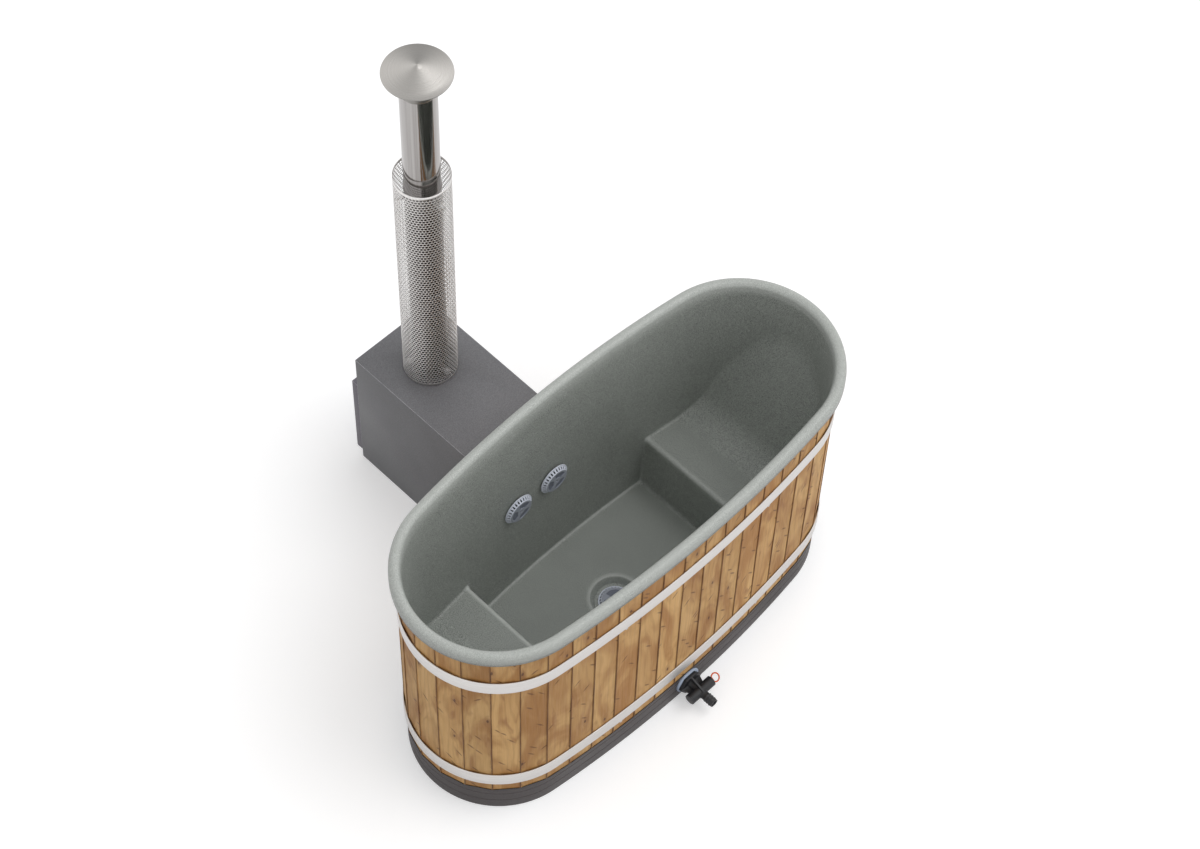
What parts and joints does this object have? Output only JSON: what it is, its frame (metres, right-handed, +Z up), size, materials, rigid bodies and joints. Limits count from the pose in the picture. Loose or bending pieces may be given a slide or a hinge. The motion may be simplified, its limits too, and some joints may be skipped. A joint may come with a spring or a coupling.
{
  "type": "wood-fired hot tub",
  "caption": "Oval wood-clad hot tub with a moulded seat liner, steel hoops, a drain valve and an outside wood-burning water heater with a guarded chimney.",
  "frame": {"origin": "on the ground under the middle of the tub, in the bottom face of the middle deck bearer", "axes": "+Z up, +X along the tub away from the pictured near end, +Y across the tub towards the heater"},
  "size_m": [1.6956, 1.572, 2.071],
  "materials": {
    "liner_moulding": "satin, grey-green with fine granite speckles",
    "stave_wood": "oiled softwood with knots, upright grain",
    "plinth_wood": "dark stained, matt",
    "inner_wood": "bare timber",
    "hoop_steel": "brushed stainless band",
    "fastener_steel": "bright stainless",
    "foam_board": "matt foam",
    "fitting_plastic": "smooth satin grey plastic",
    "pipe_plastic": "satin black pipe",
    "valve_plastic": "satin black glass-filled plastic",
    "seal_rubber": "matt black rubber",
    "gasket_rubber": "matt blue-grey rubber",
    "ring_plastic": "smooth orange plastic",
    "heater_paint": "fine-textured dark grey powder coat",
    "door_paint": "fine-textured grey powder coat",
    "handle_paint": "satin black",
    "jacket_steel": "plain welded sheet",
    "fire_steel": "sooty heavy plate",
    "grate_iron": "rough casting",
    "fire_board": "matt fire-resistant board",
    "flue_steel": "polished stainless pipe",
    "guard_steel": "bright perforated stainless sheet",
    "cap_steel": "brushed spun stainless"
  },
  "bodies": {
    "tub": {"liner": "liner_moulding", "staves_heater_side": "stave_wood", "staves_step_end": "stave_wood", "staves_valve_side": "stave_wood", "staves_seat_end": "stave_wood", "upper_hoop": "hoop_steel", "lower_hoop": "hoop_steel", "hoop_bolts": "fastener_steel", "hoop_nuts": "fastener_steel", "hoop_support_screws": "fastener_steel", "plinth": "plinth_wood", "floor_deck": "inner_wood", "deck_bearers": "inner_wood", "floor_insulation": "foam_board", "seat_supports": "inner_wood", "drain_grille": "fitting_plastic", "drain_body": "fitting_plastic", "drain_gasket": "seal_rubber", "drain_nut": "fitting_plastic", "drain_screw": "fastener_steel", "drain_pipe": "pipe_plastic", "valve_body": "valve_plastic", "valve_gasket": "gasket_rubber", "valve_nut": "valve_plastic", "valve_end_cap": "valve_plastic", "cold_grille": "fitting_plastic", "cold_body": "fitting_plastic", "cold_gasket": "seal_rubber", "cold_nut": "fitting_plastic", "cold_screw": "fastener_steel", "cold_pipe": "pipe_plastic", "hot_grille": "fitting_plastic", "hot_body": "fitting_plastic", "hot_gasket": "seal_rubber", "hot_nut": "fitting_plastic", "hot_screw": "fastener_steel", "hot_pipe": "pipe_plastic", "pipe_clamps": "fastener_steel", "heater_casing": "heater_paint", "heater_base": "heater_paint", "water_jacket": "jacket_steel", "firebox": "fire_steel", "grate": "grate_iron", "hinge_brackets": "heater_paint", "hinge_pins": "fastener_steel", "lower_flue": "flue_steel", "upper_flue": "flue_steel", "flue_guard": "guard_steel", "guard_spacers": "fastener_steel"},
    "door": {"door_plate": "door_paint", "door_board": "fire_board", "hinge_sleeves": "heater_paint", "air_guides": "heater_paint"},
    "latch": {"latch_handle": "handle_paint", "latch_cam": "fastener_steel"},
    "air_slide": {"air_slide": "handle_paint"},
    "valve_slide": {"valve_spool": "valve_plastic", "spool_seals": "seal_rubber", "pull_ring": "ring_plastic"},
    "chimney_cap": {"rain_cap": "cap_steel"}
  },
  "joints": [
    {"name": "door_hinge", "type": "hinge", "parent": "tub", "child": "door", "pos_m": [0.1975, 1.08225, 0.25], "axis": [0, 0, -1], "range_deg": [0, 110]},
    {"name": "latch_turn", "type": "hinge", "parent": "door", "child": "latch", "pos_m": [-0.111, 1.1, 0.24], "axis": [0, -1, 0], "range_deg": [0, 90]},
    {"name": "air_slide_travel", "type": "slide", "parent": "door", "child": "air_slide", "axis": [1, 0, 0], "range_m": [0, 0.02]},
    {"name": "valve_pull", "type": "slide", "parent": "tub", "child": "valve_slide", "axis": [1, 0, 0], "range_m": [0, 0.022]},
    {"name": "cap_lift", "type": "slide", "parent": "tub", "child": "chimney_cap", "axis": [0, 0, 1], "range_m": [0, 0.06]}
  ]
}
